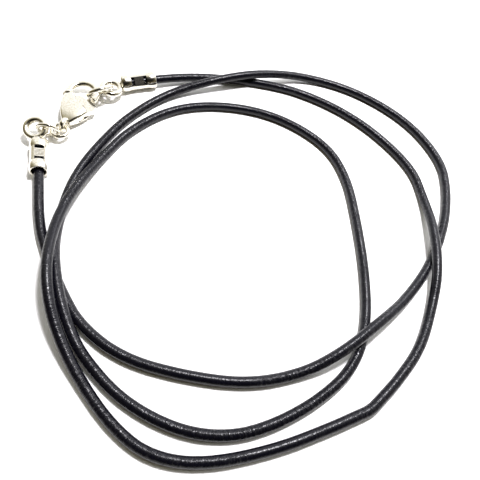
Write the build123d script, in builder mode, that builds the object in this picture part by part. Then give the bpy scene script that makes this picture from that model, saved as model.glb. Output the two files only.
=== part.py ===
from build123d import *
from math import cos, radians, sin, tan
import os

os.makedirs("parts", exist_ok=True)

# A leather cord necklace, laid down in loops, with its clasp closed.
# Millimetres, +Z up.  The surface that it lies on is Z = 0, and the origin is under the middle of the
# clasp's metal pieces.

# The cord.
cord_diameter = 1.6
strand_gap = 0.10            # air between two strands that cross
cord_end_gap = 0.30          # air between the cord's end and the closed end of its crimp
cord_side_gap = 0.05         # air between the cord and the pressed band

# The crimp ends.
crimp_diameter = 3.2
crimp_length = 6.7
crimp_wall = 0.45
crimp_head = 1.0             # thickness of the closed end
head_round = 0.55
mouth_round = 0.14
collar_bulge = 0.13          # the collars swell by this much in their middle
mouth_collar = 1.75          # whole tube between the mouth and the first slot
slot_length = 0.65
band_length = 1.7            # between the two slots
band_flat = 1.26             # height of its pressed flat over the axis
slot_width = 1.5
groove_pitch = 0.28
groove_width = 0.12
groove_depth = 0.09
window_turn_a = 40.0         # slots turned from straight up, towards the viewer's side
window_turn_b = -15.0

# The soldered loops.
loop_wire = 1.1
loop_radius = 1.65           # centre of the wire
loop_reach_a = 2.3           # closed end to the loop's centre
loop_reach_b = 2.45
loop_swing_a = 29.2          # degrees in plan from the tube's axis
loop_swing_b = 11.0
loop_rise_a = 8.5
loop_rise_b = 18.3
loop_roll_a = 3.9
loop_roll_b = 9.5
neck_diameter = 1.2

# The jump rings.
claw_ring_wire = 0.88
claw_ring_radius = 2.245
small_ring_wire = 0.72
tail_ring_radius = 1.36
link_ring_radius = 1.69

# The claw clasp.
claw_heading = 73.0          # degrees in plan, from the tail to the hook
claw_thickness = 2.85        # at its crown
claw_floor_gap = 0.175       # the clasp leans on its rings
puff_radius = 9.0            # of the domed faces
puff_centre = (5.7, 0.6)
edge_round = 0.4
eye_radius = 0.95            # centre of the eye's wire
eye_wire = 0.90
eye_reach = 1.30             # tail point to the eye's centre
hook_radius = 2.60
hook_wire = 1.24
hook_root_wire = 1.9
hook_centre = (9.65, 0.65)
hook_start = 114.6           # degrees, where the hook leaves the body
hook_end = -111.7            # degrees, the hook's tip
hook_tip_round = 0.2
pivot = (4.4, -0.9)
pin_diameter = 0.9
pin_clearance = 0.05
pin_cover = 0.5              # metal over the pin's upper end
lever_thickness = 0.9
lever_side_gap = 0.08        # air over and under the lever in its slot
lever_gap = 0.10             # air between the lever's edge and the slot or the hook's tip
lever_hub = 2.3              # diameter round the pin
lever_travel = 20.0          # degrees
lever_round = 0.15

level_step = cord_diameter + strand_gap
crimp_level = (crimp_diameter - cord_diameter) / 2 / level_step

# Route of the cord: x, y and the level of each point.
# Level 0 lies on the surface, level 1 lies on a strand that lies on the surface.
route = [
    (5.24, 9.975, crimp_level), (12.15, 12.425, crimp_level), (19.55, 14.525, 0.1), (29.05, 15.025, 0.0),
    (40.15, 13.225, 0.0), (51.65, 6.625, 0.0), (60.35, -4.075, 0.0), (61.35, -12.275, 0.0),
    (60.75, -19.275, 1.05), (59.75, -27.275, 1.05), (58.15, -33.275, 0.0), (54.95, -39.875, 0.0),
    (50.45, -44.825, 0.0), (47.3, -47.675, 0.0), (45.65, -49.125, 0.0), (43.65, -49.925, 0.0),
    (39.65, -51.575, 0.0), (31.95, -54.375, 0.0), (22.55, -56.275, 0.0), (15.55, -55.375, 0.0),
    (10.2, -51.575, 0.0), (5.05, -45.475, 0.1), (1.6, -39.775, 1.0), (-0.2, -34.775, 1.9),
    (-1.15, -29.775, 2.1), (-1.45, -23.775, 1.4), (-0.75, -18.275, 0.9), (0.85, -13.475, 0.65),
    (3.05, -7.975, 0.0), (7.15, -0.875, 0.0), (14.85, 5.525, 0.0), (24.55, 7.425, 0.0),
    (34.75, 5.725, 0.0), (43.85, -0.475, 0.0), (47.15, -8.275, 0.0), (47.75, -18.275, 0.0),
    (47.85, -27.275, 0.0), (46.95, -36.275, 0.0), (44.15, -43.075, 0.0), (38.45, -47.925, 0.0),
    (31.55, -51.475, 0.0), (25.55, -52.975, 0.0), (18.95, -52.275, 0.0), (11.35, -48.675, 0.0),
    (5.55, -43.075, 0.0), (3.15, -39.375, 0.4), (1.2, -35.075, 1.1), (-0.75, -28.575, 1.05),
    (-1.65, -23.775, 0.1), (-1.65, -18.775, 0.0), (-0.95, -13.075, 0.0), (1.45, -6.475, 0.0),
    (6.35, 2.325, 0.0), (13.95, 9.625, 0.1), (23.75, 13.025, 1.05), (31.95, 15.725, 1.05),
    (41.55, 18.025, 0.0), (52.45, 14.825, 0.0), (62.15, 7.325, 0.0), (66.85, -2.075, 0.0),
    (66.45, -9.275, 0.0), (63.95, -17.675, 0.0), (59.35, -25.875, 0.0), (53.75, -32.275, 0.0),
    (48.75, -36.375, 1.05), (42.35, -41.275, 1.05), (36.55, -44.275, 0.0), (28.55, -46.075, 0.0),
    (19.55, -45.225, 0.0), (10.75, -43.075, 0.0), (4.35, -38.575, 0.0), (0.85, -33.475, 0.0),
    (-2.05, -28.075, 0.0), (-4.35, -23.075, 0.0), (-5.87, -15.745, crimp_level), (-7.47, -7.595, crimp_level),
]
cord_points = [Vector(x, y, cord_diameter / 2 + level * level_step) for x, y, level in route]


def arc_radius(before, at, after):
    """Radius of the arc at a point: 0.45 of the shorter run is its tangent length."""
    run_in = at - before
    run_out = after - at
    half_turn = radians(run_in.get_angle(run_out)) / 2
    return 0.45 * min(run_in.length, run_out.length) / tan(half_turn)


def plan_direction(angle, rise=0.0):
    """The unit vector at an angle in plan, raised by a second angle."""
    level = cos(radians(rise))
    return Vector(cos(radians(angle)) * level, sin(radians(angle)) * level, sin(radians(rise)))


def ring_plane(centre, normal):
    """A plane that holds a ring's axis as its Y direction."""
    normal = normal.normalized()
    radial = normal.cross(Vector(0, 0, 1)).normalized()
    return Plane(origin=centre, x_dir=radial, z_dir=radial.cross(normal))


def crimp_end(cord_tip, cord_next, window_turn, loop_reach, loop_swing, loop_rise, loop_roll):
    """One crimp end: tube, slots, pressed band, closed end, neck and soldered loop."""
    outwards = (cord_tip - cord_next).normalized()
    sideways = Vector(0, 0, 1).cross(outwards)
    window = Vector(0, 0, 1) * cos(radians(window_turn)) + sideways * sin(radians(window_turn))
    head = cord_tip + outwards * (cord_end_gap + crimp_head)
    mouth = head - outwards * crimp_length
    outer = crimp_diameter / 2
    bore = outer - crimp_wall
    waist = outer - collar_bulge
    band_bottom = cord_diameter / 2 + cord_side_gap
    band_start = mouth_collar + slot_length
    band_end = band_start + band_length
    window_end = band_end + slot_length
    profile = Plane(origin=mouth, x_dir=outwards, z_dir=outwards.cross(window))
    section = Plane(origin=mouth, x_dir=outwards.cross(window) * -1, z_dir=outwards)
    reach_direction = outwards.rotate(Axis.Z, loop_swing)
    if loop_rise:
        across = Vector(0, 0, 1).cross(reach_direction)
        reach_direction = reach_direction.rotate(Axis((0, 0, 0), across), -loop_rise)
    loop_side = Vector(0, 0, 1).cross(reach_direction).normalized()
    loop_up = reach_direction.cross(loop_side)
    loop_normal = loop_up * cos(radians(loop_roll)) + loop_side * sin(radians(loop_roll))
    loop_centre = head + reach_direction * loop_reach

    with BuildPart() as piece:
        with BuildSketch(profile):
            with BuildLine():
                Line((0, bore), (0, waist))
                ThreePointArc((0, waist), (mouth_collar / 2, outer), (mouth_collar, waist))
                Line((mouth_collar, waist), (window_end, waist))
                ThreePointArc((window_end, waist), ((window_end + crimp_length) / 2, outer), (crimp_length, waist))
                Polyline(
                    (crimp_length, waist),
                    (crimp_length, 0),
                    (crimp_length - crimp_head, 0),
                    (crimp_length - crimp_head, bore),
                    (0, bore),
                )
            make_face()
        revolve(axis=Axis(mouth, outwards))
        rims = piece.edges().filter_by(GeomType.CIRCLE)
        fillet(rims.sort_by(Axis(mouth, outwards))[-1], head_round)
        fillet(piece.edges().filter_by(GeomType.CIRCLE).sort_by(Axis(mouth, outwards))[:2], mouth_round)

        # The band between the slots is pressed flat, down to the cord.
        with BuildSketch(profile):
            with Locations(((mouth_collar + window_end) / 2, band_flat + outer / 2)):
                Rectangle(window_end - mouth_collar, outer)
        extrude(amount=outer, both=True, mode=Mode.SUBTRACT)
        for start in (mouth_collar, band_end):
            with BuildSketch(section.offset(start)):
                with Locations((0, outer)):
                    Rectangle(slot_width, 2 * (outer - band_bottom))
            extrude(amount=slot_length, mode=Mode.SUBTRACT)
        with BuildSketch(section.offset(band_start)):
            half = slot_width / 2
            Polygon(
                (-half * 1.12, band_bottom),
                (half * 1.12, band_bottom),
                (half, band_flat),
                (-half, band_flat),
                align=None,
            )
        extrude(amount=band_length)
        grooves = int((band_length - groove_width) / groove_pitch)
        first = band_start + (band_length - (grooves - 1) * groove_pitch) / 2
        with BuildSketch(profile):
            for index in range(grooves):
                with Locations((first + index * groove_pitch, band_flat)):
                    Rectangle(groove_width, 2 * groove_depth)
        extrude(amount=half - 0.02, both=True, mode=Mode.SUBTRACT)

        # The neck and the soldered loop.
        with BuildSketch(Plane(origin=head - outwards * crimp_head / 2, z_dir=outwards)):
            Circle(neck_diameter / 2)
        extrude(amount=crimp_head / 2 + loop_reach - loop_radius)
        with BuildSketch(ring_plane(loop_centre, loop_normal)):
            with Locations((loop_radius, 0)):
                Circle(loop_wire / 2)
        revolve(axis=Axis(loop_centre, loop_normal))
    return piece, loop_centre, loop_normal


def jump_ring(centre, normal, radius, wire):
    """A closed ring of round wire."""
    with BuildPart() as piece:
        with BuildSketch(ring_plane(centre, normal)):
            with Locations((radius, 0)):
                Circle(wire / 2)
        revolve(axis=Axis(centre, normal))
    return piece


# The cord.
arc_radii = []
for index in range(1, len(cord_points) - 1):
    arc_radii.append(arc_radius(*cord_points[index - 1:index + 2]))
with BuildPart() as cord:
    with BuildLine() as cord_path:
        FilletPolyline(*cord_points, radius=arc_radii)
    with BuildSketch(Plane(origin=cord_points[0], z_dir=cord_points[1] - cord_points[0])):
        Circle(cord_diameter / 2)
    sweep(path=cord_path.wires()[0])
cord.part.label = "cord"
print("cord radii", [round(radius, 1) for radius in arc_radii])
cord_length = cord_path.wires()[0].length
expected = cord_length * 3.14159265 * cord_diameter ** 2 / 4
print("cord length", round(cord_length, 1), "volume", round(cord.part.volume, 1), "expected", round(expected, 1))

# The crimp ends with their loops.
crimp_end_a, loop_centre_a, loop_normal_a = crimp_end(
    cord_points[0], cord_points[1], window_turn_a, loop_reach_a, loop_swing_a, loop_rise_a, loop_roll_a)
crimp_end_a.part.label = "crimp_end_a"
crimp_end_b, loop_centre_b, loop_normal_b = crimp_end(
    cord_points[-1], cord_points[-2], window_turn_b, loop_reach_b, loop_swing_b, loop_rise_b, loop_roll_b)
crimp_end_b.part.label = "crimp_end_b"

# The jump rings, each linked with its neighbours.
claw_ring = jump_ring(
    loop_centre_a + Vector(-1.82, -1.67, 0.36), plan_direction(121.3, 35.0), claw_ring_radius, claw_ring_wire)
claw_ring.part.label = "claw_ring"
link_ring = jump_ring(
    loop_centre_b + Vector(2.00, 0.18, -0.31), plan_direction(268.2, -13.5), link_ring_radius, small_ring_wire)
link_ring.part.label = "link_ring"
tail_ring = jump_ring(
    loop_centre_b + Vector(3.77, 0.73, -0.86), plan_direction(289.4, 84.6), tail_ring_radius, small_ring_wire)
tail_ring.part.label = "tail_ring"

# The claw clasp.
claw_middle = claw_floor_gap + claw_thickness / 2
claw_x = plan_direction(claw_heading)
claw_base = Plane(origin=(-4.7, -3.405, claw_middle), x_dir=claw_x, z_dir=(0, 0, 1))
pivot_point = claw_base.from_local_coords(Vector(*pivot, 0))
hook_point = claw_base.from_local_coords(Vector(*hook_centre, 0))
slot_height = lever_thickness + 2 * lever_side_gap


def at_pivot(radius, angle):
    """A point of the claw's plane, in polar steps from the pivot."""
    return (pivot[0] + radius * cos(radians(angle)), pivot[1] + radius * sin(radians(angle)))


def hook_plane(angle):
    """The plane across the hook's wire at an angle round the hook's centre."""
    radial = claw_x.rotate(Axis.Z, angle)
    return Plane(origin=hook_point + radial * hook_radius, x_dir=radial, z_dir=radial.rotate(Axis.Z, -90))


# The tip of the hook sets how far the lever reaches.
tip = (hook_centre[0] + (hook_radius + hook_wire / 2) * cos(radians(hook_end)),
       hook_centre[1] + (hook_radius + hook_wire / 2) * sin(radians(hook_end)))
lever_reach = ((tip[0] - pivot[0]) ** 2 + (tip[1] - pivot[1]) ** 2) ** 0.5 - lever_gap
lever_corner = 4.4           # radius of the lever's inner edge round the pin
lever_corner_angle = 28.0
lever_front_angle = 17.0
lever_end_angles = (-8.0, -12.5, -17.0)
slot_angle = lever_corner_angle + lever_travel

with BuildPart() as claw_body:
    with BuildSketch(claw_base):
        with BuildLine():
            ThreePointArc((1.9, 0.70), (5.2, 2.55), (8.7, 3.3))
            ThreePointArc((8.7, 3.3), (8.8, 2.2), (8.35, 1.3))
            ThreePointArc((8.35, 1.3), (6.9, 0.3), (6.35, -0.87))
            ThreePointArc((6.35, -0.87), (5.9, -1.85), (5.2, -2.6))
            ThreePointArc((5.2, -2.6), (3.6, -1.85), (1.9, -0.75))
            Line((1.9, -0.75), (1.9, 0.70))
        make_face()
    extrude(amount=claw_thickness / 2, both=True)
    with Locations(claw_base.from_local_coords(Vector(*puff_centre, claw_thickness / 2 - puff_radius))):
        Sphere(puff_radius, rotation=(90, 0, 0), mode=Mode.INTERSECT)
    with Locations(claw_base.from_local_coords(Vector(*puff_centre, puff_radius - claw_thickness / 2))):
        Sphere(puff_radius, rotation=(90, 0, 0), mode=Mode.INTERSECT)
    domes = claw_body.faces().filter_by(GeomType.SPHERE)
    fillet(domes.edges(), edge_round)

    # The eye at the tail: a ring of wire that stands upright.
    eye_centre = claw_base.from_local_coords(Vector(eye_reach, 0, 0))
    with BuildSketch(ring_plane(eye_centre, claw_base.y_dir)):
        with Locations((eye_radius, 0)):
            Circle(eye_wire / 2)
    revolve(axis=Axis(eye_centre, claw_base.y_dir))

    # The slot that the lever turns in.
    with BuildSketch(claw_base):
        with BuildLine():
            wide = lever_corner + lever_gap
            Line(at_pivot(lever_hub / 2 + lever_gap, slot_angle + 90), at_pivot(wide, slot_angle + 2))
            ThreePointArc(
                at_pivot(wide, slot_angle + 2),
                at_pivot(wide, (slot_angle + lever_corner_angle) / 2),
                at_pivot(wide, lever_corner_angle - 4),
            )
            Polyline(
                at_pivot(wide, lever_corner_angle - 4),
                (hook_centre[0], 0),
                (hook_centre[0], -2 * hook_radius),
                (pivot[0], -2 * hook_radius),
                at_pivot(lever_hub / 2 + lever_gap, 200),
                at_pivot(lever_hub / 2 + lever_gap, slot_angle + 90),
            )
        make_face()
        with Locations(pivot):
            Circle(lever_hub / 2 + lever_gap)
    extrude(amount=slot_height / 2, both=True, mode=Mode.SUBTRACT)

    # The hook, with a root that swells into the body.
    with BuildSketch(hook_plane(hook_start)):
        Circle(hook_wire / 2)
    revolve(axis=Axis(hook_point, (0, 0, -1)), revolution_arc=hook_start - hook_end)
    tip_face = claw_body.faces().filter_by(GeomType.PLANE).sort_by_distance(hook_plane(hook_end).origin)[0]
    fillet(tip_face.edges(), hook_tip_round)
    for angle, wire in ((hook_start + 6, hook_root_wire), (hook_start - 10, (hook_root_wire + hook_wire) / 2),
                        (hook_start - 30, hook_wire)):
        with BuildSketch(hook_plane(angle)):
            Circle(wire / 2)
    loft()

    # The hole for the pin, closed at the top.
    with BuildSketch(claw_base.offset(claw_thickness / 2 - pin_cover)):
        with Locations(pivot):
            Circle(pin_diameter / 2 + pin_clearance)
    extrude(amount=-claw_thickness, mode=Mode.SUBTRACT)
claw_body.part.label = "claw_body"

with BuildPart() as claw_lever:
    with BuildSketch(claw_base):
        with BuildLine():
            Line(at_pivot(lever_hub / 2, lever_corner_angle + 90), at_pivot(lever_corner, lever_corner_angle))
            ThreePointArc(
                at_pivot(lever_corner, lever_corner_angle),
                at_pivot(lever_corner, (lever_corner_angle + lever_front_angle) / 2),
                at_pivot(lever_corner, lever_front_angle),
            )
            Polyline(
                at_pivot(lever_corner, lever_front_angle),
                (8.4, -0.4),
                (8.3, -1.0),
                at_pivot(lever_reach, lever_end_angles[0]),
            )
            ThreePointArc(*[at_pivot(lever_reach, angle) for angle in lever_end_angles])
            Polyline(
                at_pivot(lever_reach, lever_end_angles[2]),
                (7.75, -2.35),
                (7.2, -3.15),
                (6.1, -3.3),
                (5.5, -2.65),
                at_pivot(lever_hub / 2, -80),
                at_pivot(lever_hub / 2, -160),
                at_pivot(lever_hub / 2, lever_corner_angle + 90),
            )
        make_face()
        with Locations(pivot):
            Circle(lever_hub / 2)
    extrude(amount=lever_thickness / 2, both=True)
    fillet(claw_lever.edges().filter_by(GeomType.LINE).filter_by(Axis.Z), lever_round)
    with BuildSketch(claw_base):
        with Locations(pivot):
            Circle(pin_diameter / 2 + pin_clearance)
    extrude(amount=lever_thickness, both=True, mode=Mode.SUBTRACT)
claw_lever.part.label = "claw_lever"

with BuildPart() as claw_pin:
    with BuildSketch(claw_base.offset(claw_thickness / 2 - pin_cover - pin_clearance)):
        with Locations(pivot):
            Circle(pin_diameter / 2)
    extrude(amount=-(claw_thickness - 2 * pin_cover))
claw_pin.part.label = "claw_pin"

for piece in (cord, crimp_end_a, crimp_end_b, claw_ring, link_ring, tail_ring, claw_body, claw_lever, claw_pin):
    export_step(piece.part, "parts/" + piece.part.label + ".step")

metal = Compound(children=[
    crimp_end_a.part, crimp_end_b.part, claw_ring.part, link_ring.part, tail_ring.part, claw_body.part,
    claw_lever.part])
box = metal.bounding_box()
print("metal box", [round(value, 2) for value in (box.min.X, box.max.X, box.min.Y, box.max.Y, box.min.Z, box.max.Z)])
print("pivot", [round(value, 3) for value in pivot_point])
print("loops", [round(value, 2) for value in loop_centre_a], [round(value, 2) for value in loop_centre_b])
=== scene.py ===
import math

import bmesh
import bpy
from mathutils import Matrix, Vector, noise


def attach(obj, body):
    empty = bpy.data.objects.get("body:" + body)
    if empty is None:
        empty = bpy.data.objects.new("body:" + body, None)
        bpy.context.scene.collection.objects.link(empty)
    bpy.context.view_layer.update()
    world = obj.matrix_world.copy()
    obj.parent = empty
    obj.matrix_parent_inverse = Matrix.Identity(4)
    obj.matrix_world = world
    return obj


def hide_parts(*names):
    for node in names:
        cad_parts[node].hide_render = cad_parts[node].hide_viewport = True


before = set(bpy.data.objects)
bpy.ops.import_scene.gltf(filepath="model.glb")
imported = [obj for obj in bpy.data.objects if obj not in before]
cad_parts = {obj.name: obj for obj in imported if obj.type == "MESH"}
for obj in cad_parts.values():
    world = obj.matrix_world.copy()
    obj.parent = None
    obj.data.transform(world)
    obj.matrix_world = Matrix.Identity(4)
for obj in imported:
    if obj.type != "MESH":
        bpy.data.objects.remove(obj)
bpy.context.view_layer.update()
mm = 0.001


def hexColour(code):
    # sRGB hex to the linear colour that a shader takes
    parts = [int(code[i:i + 2], 16) / 255 for i in (1, 3, 5)]
    linear = [part / 12.92 if part <= 0.04045 else ((part + 0.055) / 1.055) ** 2.4 for part in parts]
    return (*linear, 1.0)


def addNode(tree, kind, settings=None, inputs=None):
    # one shader node, its settings, and its sockets as values or links
    node = tree.nodes.new(kind)
    for name, value in (settings or {}).items():
        setattr(node, name, value)
    for name, value in (inputs or {}).items():
        if isinstance(value, bpy.types.NodeSocket):
            tree.links.new(value, node.inputs[name])
        else:
            node.inputs[name].default_value = value
    return node


def newMaterial(name):
    # a material with an empty node tree
    material = bpy.data.materials.new(name)
    material.use_nodes = True
    material.node_tree.nodes.clear()
    return material, material.node_tree


# The camera stands close over the table, at the photograph's angle.
cameraView = {
    "place": (18.95 * mm, -60.975 * mm, 65.7 * mm),
    "right": (0.9920, 0.0, 0.1265),
    "up": (-0.0635, 0.8646, 0.4984),
    "lens": 34.65,
    "sensor": 36,
    "nearest": 4 * mm,
    "furthest": 20,
}
cameraData = bpy.data.cameras.new("tableCamera")
cameraData.lens = cameraView["lens"]
cameraData.sensor_width = cameraView["sensor"]
cameraData.clip_start = cameraView["nearest"]
cameraData.clip_end = cameraView["furthest"]
camera = bpy.data.objects.new("tableCamera", cameraData)
bpy.context.scene.collection.objects.link(camera)
rightAxis = Vector(cameraView["right"]).normalized()
upAxis = Vector(cameraView["up"]).normalized()
camera.matrix_world = Matrix.Translation(cameraView["place"]) @ Matrix(
    (rightAxis, upAxis, rightAxis.cross(upAxis))).transposed().to_4x4()
bpy.context.scene.camera = camera
bpy.context.scene.view_settings.view_transform = "Standard"  # whites burn out as in a bright snapshot
print("camera set")

# One round leather cord, laid in loops. Lengths are in millimetres.
cordLook = {
    "diameter": 1.6,
    "cutLength": 579.5,     # from end to end, along its middle
    "crimpDiameter": 3.2,
    "strandGap": 0.1,       # between a strand and one that lies on it
    "ringStep": 0.2,        # between the rings of points that make its mesh
    "sides": 24,
    # how long each unevenness is along the cord, its depth as a share of the radius, how fast it changes
    # round the cord, and a shift that makes it differ from the others
    "lumps": {"length": 7.0, "depth": 0.022, "turn": 0.6, "shift": (0, 0)},
    "ripples": {"length": 1.1, "depth": 0.010, "turn": 0.8, "shift": (7, 0)},
    "wrinkles": {"length": 0.62, "depth": 0.012, "turn": 0.9, "shift": (0, 19)},
}
cordStep = cordLook["diameter"] + cordLook["strandGap"]
bore = (cordLook["crimpDiameter"] - cordLook["diameter"]) / 2 / cordStep  # level with the crimps' bores
# x, y and the level: 0 on the table, 1 on a strand that lies on the table
routePoints = [
    (5.24, 9.975, bore), (12.15, 12.425, bore), (19.55, 14.525, 0.1), (29.05, 15.025, 0.0),
    (40.15, 13.225, 0.0), (51.65, 6.625, 0.0), (60.35, -4.075, 0.0), (61.35, -12.275, 0.0),
    (60.75, -19.275, 1.05), (59.75, -27.275, 1.05), (58.15, -33.275, 0.0), (54.95, -39.875, 0.0),
    (50.45, -44.825, 0.0), (47.3, -47.675, 0.0), (45.65, -49.125, 0.0), (43.65, -49.925, 0.0),
    (39.65, -51.575, 0.0), (31.95, -54.375, 0.0), (22.55, -56.275, 0.0), (15.55, -55.375, 0.0),
    (10.2, -51.575, 0.0), (5.05, -45.475, 0.1), (1.6, -39.775, 1.0), (-0.2, -34.775, 1.9),
    (-1.15, -29.775, 2.1), (-1.45, -23.775, 1.4), (-0.75, -18.275, 0.9), (0.85, -13.475, 0.65),
    (3.05, -7.975, 0.0), (7.15, -0.875, 0.0), (14.85, 5.525, 0.0), (24.55, 7.425, 0.0),
    (34.75, 5.725, 0.0), (43.85, -0.475, 0.0), (47.15, -8.275, 0.0), (47.75, -18.275, 0.0),
    (47.85, -27.275, 0.0), (46.95, -36.275, 0.0), (44.15, -43.075, 0.0), (38.45, -47.925, 0.0),
    (31.55, -51.475, 0.0), (25.55, -52.975, 0.0), (18.95, -52.275, 0.0), (11.35, -48.675, 0.0),
    (5.55, -43.075, 0.0), (3.15, -39.375, 0.4), (1.2, -35.075, 1.1), (-0.75, -28.575, 1.05),
    (-1.65, -23.775, 0.1), (-1.65, -18.775, 0.0), (-0.95, -13.075, 0.0), (1.45, -6.475, 0.0),
    (6.35, 2.325, 0.0), (13.95, 9.625, 0.1), (23.75, 13.025, 1.05), (31.95, 15.725, 1.05),
    (41.55, 18.025, 0.0), (52.45, 14.825, 0.0), (62.15, 7.325, 0.0), (66.85, -2.075, 0.0),
    (66.45, -9.275, 0.0), (63.95, -17.675, 0.0), (59.35, -25.875, 0.0), (53.75, -32.275, 0.0),
    (48.75, -36.375, 1.05), (42.35, -41.275, 1.05), (36.55, -44.275, 0.0), (28.55, -46.075, 0.0),
    (19.55, -45.225, 0.0), (10.75, -43.075, 0.0), (4.35, -38.575, 0.0), (0.85, -33.475, 0.0),
    (-2.05, -28.075, 0.0), (-4.35, -23.075, 0.0), (-5.87, -15.745, bore), (-7.47, -7.595, bore),
]
cordRoute = [(x * mm, y * mm, (cordLook["diameter"] / 2 + level * cordStep) * mm)
             for x, y, level in routePoints]

routeCurve = bpy.data.curves.new("cordRoute", "CURVE")
routeCurve.dimensions = "3D"
routeCurve.resolution_u = 16
routeSpline = routeCurve.splines.new("NURBS")
routeSpline.points.add(len(cordRoute) - 1)
for point, place in zip(routeSpline.points, cordRoute):
    point.co = (*place, 1)
routeSpline.order_u = 3
routeSpline.use_endpoint_u = True
routeObject = bpy.data.objects.new("cordRoute", routeCurve)
bpy.context.scene.collection.objects.link(routeObject)
bpy.context.view_layer.update()
routeMesh = bpy.data.meshes.new_from_object(routeObject)
cordPath = [vertex.co.copy() for vertex in routeMesh.vertices]
bpy.data.objects.remove(routeObject)


def evenPath(points, step):
    # the same line with points at even steps, each with its length along the cord
    lengths = [0.0]
    for here, there in zip(points, points[1:]):
        lengths.append(lengths[-1] + (there - here).length)
    count = int(lengths[-1] / step)
    result, index = [], 0
    for i in range(count + 1):
        goal = lengths[-1] * i / count
        while index < len(points) - 2 and lengths[index + 1] < goal:
            index += 1
        share = (goal - lengths[index]) / (lengths[index + 1] - lengths[index])
        result.append((points[index].lerp(points[index + 1], share), goal))
    return result


def unevenness(alongMm, outward, form):
    # how far one of the cord's forms swells or dents it there, as a share of its radius
    firstShift, secondShift = form["shift"]
    spot = Vector((alongMm / form["length"], outward.z * form["turn"] + firstShift,
                   outward.x * form["turn"] + secondShift))
    return form["depth"] * noise.noise(spot)


def cordTube(name, path, look):
    # rings of points round the path, uneven as leather is, and a UV map in millimetres
    radius = look["diameter"] / 2 * mm
    forms = [look["lumps"], look["ripples"], look["wrinkles"]]
    rings = evenPath(path, look["ringStep"] * mm)
    mesh = bmesh.new()
    uvLayer = mesh.loops.layers.uv.new("alongAndRound")
    rows = []
    for i, (place, length) in enumerate(rings):
        before = rings[max(i - 1, 0)][0]
        after = rings[min(i + 1, len(rings) - 1)][0]
        along = (after - before).normalized()
        side = along.cross(Vector((0, 0, 1))).normalized()
        up = side.cross(along)
        row = []
        for j in range(look["sides"]):
            angle = 2 * math.pi * j / look["sides"] - math.pi / 2  # the pattern's seam lies underneath
            outward = side * math.cos(angle) + up * math.sin(angle)
            size = radius * sum((unevenness(length / mm, outward, form) for form in forms), 1.0)
            row.append(mesh.verts.new(place + outward * size))
        rows.append(row)
    around = math.pi * look["diameter"]
    for i in range(len(rows) - 1):
        for j in range(look["sides"]):
            k = (j + 1) % look["sides"]
            face = mesh.faces.new((rows[i][j], rows[i][k], rows[i + 1][k], rows[i + 1][j]))
            face.smooth = True
            spots = ((i, j), (i, j + 1), (i + 1, j + 1), (i + 1, j))
            for loop, (a, b) in zip(face.loops, spots):
                loop[uvLayer].uv = (rings[a][1] / mm, around * b / look["sides"])
    mesh.faces.new(list(rows[0]))
    mesh.faces.new(list(reversed(rows[-1])))
    bmesh.ops.recalc_face_normals(mesh, faces=mesh.faces)
    data = bpy.data.meshes.new(name)
    mesh.to_mesh(data)
    mesh.free()
    piece = bpy.data.objects.new(name, data)
    bpy.context.scene.collection.objects.link(piece)
    return piece


cordPiece = cordTube("leatherCord", cordPath, cordLook)
pathLength = sum((b - a).length for a, b in zip(cordPath, cordPath[1:]))
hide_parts("cord")
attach(cordPiece, "necklace")
print("cord made", len(cordPiece.data.polygons), "faces, path", round(pathLength, 4), "m")

# Leather: round cut cowhide cord, aniline dyed near black and waxed. It gives a navy cast, a low waxy
# gloss, and fine cross wrinkles that break up its highlight.
leatherLook = {
    "deep": "#050509",
    "worn": "#0b0b14",
    "roughness": 0.25,
    "roughnessSpread": (-0.05, 0.07),
    "specularLevel": 0.26,
    "wrinkleMm": 0.50,              # from one cross wrinkle to the next
    "wrinkleReachMm": 2.86,         # how far a wrinkle runs round the cord
    "wrinkleContrast": (0.36, 0.62),
    "wrinkleStrength": 1.0,
    "wrinkleHeight": 0.09 * mm,
    "patchMm": 8.33,                # the wrinkles fade and return over this length
    "patchContrast": (0.38, 0.62),
    "patchLeast": 0.25,
    "grainMm": 0.24,                # the pores are finer, and are drawn this coarse to show
    "grainStrength": 0.7,
    "grainHeight": 0.03 * mm,
}


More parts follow.
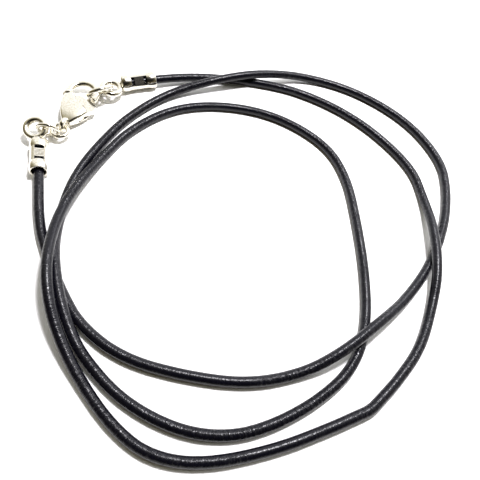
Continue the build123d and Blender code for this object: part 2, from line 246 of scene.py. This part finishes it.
def dyedLeather(look):
    material, tree = newMaterial("dyedCowhideCord")
    onCord = addNode(tree, "ShaderNodeTexCoord")
    wrinkleMap = addNode(tree, "ShaderNodeMapping", inputs={
        "Vector": onCord.outputs["UV"], "Scale": (1 / look["wrinkleMm"], 1 / look["wrinkleReachMm"], 1)})
    wrinkle = addNode(tree, "ShaderNodeTexNoise", inputs={
        "Vector": wrinkleMap.outputs["Vector"], "Scale": 1.0, "Detail": 3.0, "Roughness": 0.6,
        "Distortion": 0.6})
    grain = addNode(tree, "ShaderNodeTexNoise", inputs={
        "Vector": onCord.outputs["UV"], "Scale": 1 / look["grainMm"], "Detail": 2.0})
    patches = addNode(tree, "ShaderNodeTexNoise", inputs={
        "Vector": onCord.outputs["UV"], "Scale": 1 / look["patchMm"], "Detail": 2.0})
    wrinkleDepth = addNode(tree, "ShaderNodeMapRange", inputs={
        "Value": wrinkle.outputs["Fac"], "From Min": look["wrinkleContrast"][0],
        "From Max": look["wrinkleContrast"][1]})
    patchDepth = addNode(tree, "ShaderNodeMapRange", inputs={
        "Value": patches.outputs["Fac"], "From Min": look["patchContrast"][0],
        "From Max": look["patchContrast"][1], "To Min": look["patchLeast"], "To Max": 1.0})
    height = addNode(tree, "ShaderNodeMath", {"operation": "MULTIPLY"}, {
        0: wrinkleDepth.outputs["Result"], 1: patchDepth.outputs["Result"]})
    wrinkleBump = addNode(tree, "ShaderNodeBump", inputs={
        "Height": height.outputs[0], "Strength": look["wrinkleStrength"], "Distance": look["wrinkleHeight"]})
    grainBump = addNode(tree, "ShaderNodeBump", inputs={
        "Height": grain.outputs["Fac"], "Strength": look["grainStrength"], "Distance": look["grainHeight"],
        "Normal": wrinkleBump.outputs["Normal"]})
    colour = addNode(tree, "ShaderNodeMix", {"data_type": "RGBA"}, {
        "Factor": wrinkle.outputs["Fac"], 6: hexColour(look["worn"]), 7: hexColour(look["deep"])})
    low, high = look["roughnessSpread"]
    rough = addNode(tree, "ShaderNodeMapRange", inputs={
        "Value": grain.outputs["Fac"], "To Min": look["roughness"] + low, "To Max": look["roughness"] + high})
    shader = addNode(tree, "ShaderNodeBsdfPrincipled", inputs={
        "Base Color": colour.outputs[2], "Roughness": rough.outputs["Result"],
        "Specular IOR Level": look["specularLevel"], "Normal": grainBump.outputs["Normal"]})
    addNode(tree, "ShaderNodeOutputMaterial", inputs={"Surface": shader.outputs[0]})
    return material


cordPiece.data.materials.append(dyedLeather(leatherLook))
print("leather done")

# Metal: sterling silver, cast or pressed and tumble polished. It is bright and faintly warm, and soft waves
# and fine wear break up its reflections.
silverLook = {
    "colour": "#efece3",
    "tarnish": "#d3cbb2",
    "tarnishContrast": (0.35, 0.80),
    "roughness": 0.15,
    "roughnessSpread": (-0.05, 0.08),
    "waveMm": 1.4,                  # soft unevenness that the polishing leaves
    "waveStrength": 0.2,
    "waveHeight": 0.05 * mm,
    "wearMm": 0.22,                 # tumbling marks are finer, and are drawn this coarse to show
    "wearStrength": 0.25,
    "wearHeight": 0.01 * mm,
}


def polishedSilver(name, look):
    material, tree = newMaterial(name)
    onPiece = addNode(tree, "ShaderNodeTexCoord")
    wave = addNode(tree, "ShaderNodeTexNoise", inputs={
        "Vector": onPiece.outputs["Object"], "Scale": 1 / (look["waveMm"] * mm), "Detail": 1.0})
    wear = addNode(tree, "ShaderNodeTexNoise", inputs={
        "Vector": onPiece.outputs["Object"], "Scale": 1 / (look["wearMm"] * mm), "Detail": 3.0})
    waveBump = addNode(tree, "ShaderNodeBump", inputs={
        "Height": wave.outputs["Fac"], "Strength": look["waveStrength"], "Distance": look["waveHeight"]})
    wearBump = addNode(tree, "ShaderNodeBump", inputs={
        "Height": wear.outputs["Fac"], "Strength": look["wearStrength"], "Distance": look["wearHeight"],
        "Normal": waveBump.outputs["Normal"]})
    dull = addNode(tree, "ShaderNodeMapRange", inputs={
        "Value": wear.outputs["Fac"], "From Min": look["tarnishContrast"][0],
        "From Max": look["tarnishContrast"][1]})
    colour = addNode(tree, "ShaderNodeMix", {"data_type": "RGBA"}, {
        "Factor": dull.outputs["Result"], 6: hexColour(look["colour"]), 7: hexColour(look["tarnish"])})
    low, high = look["roughnessSpread"]
    rough = addNode(tree, "ShaderNodeMapRange", inputs={
        "Value": wear.outputs["Fac"], "To Min": look["roughness"] + low, "To Max": look["roughness"] + high})
    shader = addNode(tree, "ShaderNodeBsdfPrincipled", inputs={
        "Base Color": colour.outputs[2], "Metallic": 1.0, "Roughness": rough.outputs["Result"],
        "Normal": wearBump.outputs["Normal"]})
    addNode(tree, "ShaderNodeOutputMaterial", inputs={"Surface": shader.outputs[0]})
    return material


silver = polishedSilver("tumbledSilver", silverLook)
for node in ("crimp_end_a", "crimp_end_b", "claw_ring", "link_ring", "tail_ring", "claw_body", "claw_lever",
             "claw_pin"):
    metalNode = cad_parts[node]
    metalNode.data.materials.clear()
    metalNode.data.materials.append(silver)
print("metal done")

# Table: pale laminate, pressed with a matt face. It takes soft shadows and shows no reflections.
tableLook = {"colour": "#f6f6f4", "roughness": 0.6, "size": 0.9, "middle": (0.03, -0.02, 0)}
bpy.ops.object.select_all(action="DESELECT")
bpy.ops.mesh.primitive_plane_add(size=tableLook["size"], location=tableLook["middle"])
table = bpy.context.active_object
table.name = "paleTable"
tableMaterial, tableTree = newMaterial("paleLaminate")
tableShader = addNode(tableTree, "ShaderNodeBsdfPrincipled", inputs={
    "Base Color": hexColour(tableLook["colour"]), "Roughness": tableLook["roughness"]})
addNode(tableTree, "ShaderNodeOutputMaterial", inputs={"Surface": tableShader.outputs[0]})
table.data.materials.append(tableMaterial)
print("table done")

# A small lamp hangs over the loops, and a weak window stands behind them on the right.
lamps = {
    "smallLamp": {
        "place": (0.056, 0.020, 0.172), "aim": (0.035, -0.02, 0), "size": (0.030, 0.026),
        "power": 0.54, "colour": "#fbf9ff"},
    "windowLight": {
        "place": (0.130, 0.115, 0.105), "aim": (0.03, -0.01, 0), "size": (0.09, 0.09),
        "power": 0.12, "colour": "#fbfbff"},
}
for name, lamp in lamps.items():
    lampData = bpy.data.lights.new(name, "AREA")
    lampData.shape = "RECTANGLE"
    lampData.size, lampData.size_y = lamp["size"]
    lampData.energy = lamp["power"]
    lampData.color = hexColour(lamp["colour"])[:3]
    lampObject = bpy.data.objects.new(name, lampData)
    lampObject.location = lamp["place"]
    aim = Vector(lamp["aim"]) - Vector(lamp["place"])
    lampObject.rotation_euler = aim.to_track_quat("-Z", "Y").to_euler()
    bpy.context.scene.collection.objects.link(lampObject)

# The room is bright behind the table, dimmer on the viewer's side, and dark where the viewer stands.
roomLook = {
    "brightSide": (0.38, 0.90, 0.22),
    "viewerSide": (0.12, -0.62, 0.78),
    # cosines of the angle from the viewer's side, where the dark begins and where it is full
    "viewerEdge": (0.66, 0.90),
    "viewerDark": 0.05,
    "strength": 1.5,
    # from straight away from the bright side to straight at it
    "stops": ((0.0, "#4e4839"), (0.42, "#5a5341"), (0.56, "#938d76"), (0.68, "#e4e3df"),
              (1.0, "#fafaff")),
}
world = bpy.data.worlds.new("softRoom")
bpy.context.scene.world = world
world.use_nodes = True
roomTree = world.node_tree
roomTree.nodes.clear()
direction = addNode(roomTree, "ShaderNodeTexCoord")
towards = addNode(roomTree, "ShaderNodeVectorMath", {"operation": "DOT_PRODUCT"}, {
    0: direction.outputs["Generated"], 1: Vector(roomLook["brightSide"]).normalized()})
share = addNode(roomTree, "ShaderNodeMapRange", inputs={"Value": towards.outputs["Value"], "From Min": -1.0})
ramp = addNode(roomTree, "ShaderNodeValToRGB", inputs={"Fac": share.outputs["Result"]})
while len(ramp.color_ramp.elements) < len(roomLook["stops"]):
    ramp.color_ramp.elements.new(0.5)
for element, (spot, code) in zip(ramp.color_ramp.elements, roomLook["stops"]):
    element.position = spot
    element.color = hexColour(code)
viewer = addNode(roomTree, "ShaderNodeVectorMath", {"operation": "DOT_PRODUCT"}, {
    0: direction.outputs["Generated"], 1: Vector(roomLook["viewerSide"]).normalized()})
dimming = addNode(roomTree, "ShaderNodeMapRange", {"interpolation_type": "SMOOTHSTEP"}, {
    "Value": viewer.outputs["Value"],
    "From Min": roomLook["viewerEdge"][0], "From Max": roomLook["viewerEdge"][1],
    "To Min": roomLook["strength"], "To Max": roomLook["strength"] * roomLook["viewerDark"]})
background = addNode(roomTree, "ShaderNodeBackground", inputs={
    "Color": ramp.outputs["Color"], "Strength": dimming.outputs["Result"]})
addNode(roomTree, "ShaderNodeOutputWorld", inputs={"Surface": background.outputs[0]})
print("light done")
